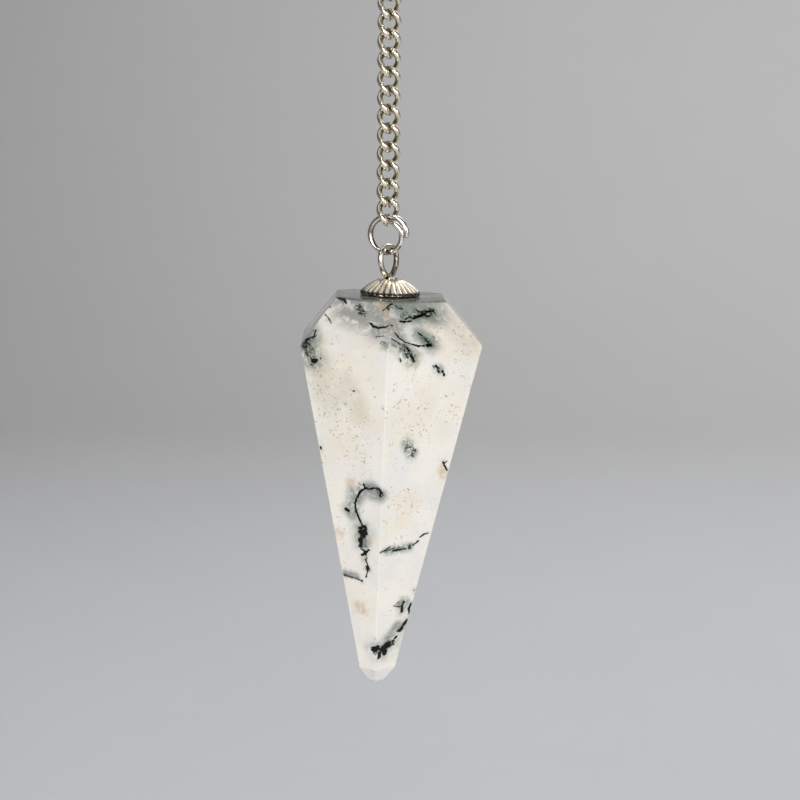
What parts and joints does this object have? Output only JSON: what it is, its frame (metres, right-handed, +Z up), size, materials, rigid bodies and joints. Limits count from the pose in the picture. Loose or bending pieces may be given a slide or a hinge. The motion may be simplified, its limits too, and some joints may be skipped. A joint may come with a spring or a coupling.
{
  "type": "pendulum pendant",
  "caption": "Faceted stone point with a fluted bead cap, hung by an eye pin and a jump ring from a fine curb chain, used as a pendulum or pendant.",
  "frame": {"origin": "where the topmost link bears on what it hangs from, at the middle of its inner top", "axes": "+Z up along the hanging chain, +X to the viewer's right, the side that shows in the picture faces -Y"},
  "size_m": [0.0178, 0.0203, 0.0705],
  "materials": {
    "stone": "polished white agate with dark green and black dendrites",
    "cap_metal": "bright stamped metal, darkened in its grooves",
    "pin_metal": "bright plated wire",
    "chain_metal": "bright plated wire with a warm tone"
  },
  "bodies": {
    "chain": {"link_01": "chain_metal", "link_02": "chain_metal", "link_03": "chain_metal", "link_04": "chain_metal", "link_05": "chain_metal", "link_06": "chain_metal", "link_07": "chain_metal", "link_08": "chain_metal", "link_09": "chain_metal", "link_10": "chain_metal", "link_11": "chain_metal", "link_12": "chain_metal", "link_13": "chain_metal"},
    "ring": {"jump_ring": "pin_metal"},
    "pendant": {"eye_pin": "pin_metal", "bead_cap": "cap_metal", "stone": "stone"}
  },
  "joints": [
    {"name": "ring_swing", "type": "hinge", "parent": "chain", "child": "ring", "pos_m": [-0.00019, -0.00008, -0.02441], "axis": [0.3732, 0.9237, 0.087], "range_deg": [-8, 38]},
    {"name": "pendant_swing", "type": "hinge", "parent": "ring", "child": "pendant", "pos_m": [0, 0, -0.02612], "axis": [0.9272, -0.3746, 0], "range_deg": [-60, 60]}
  ]
}
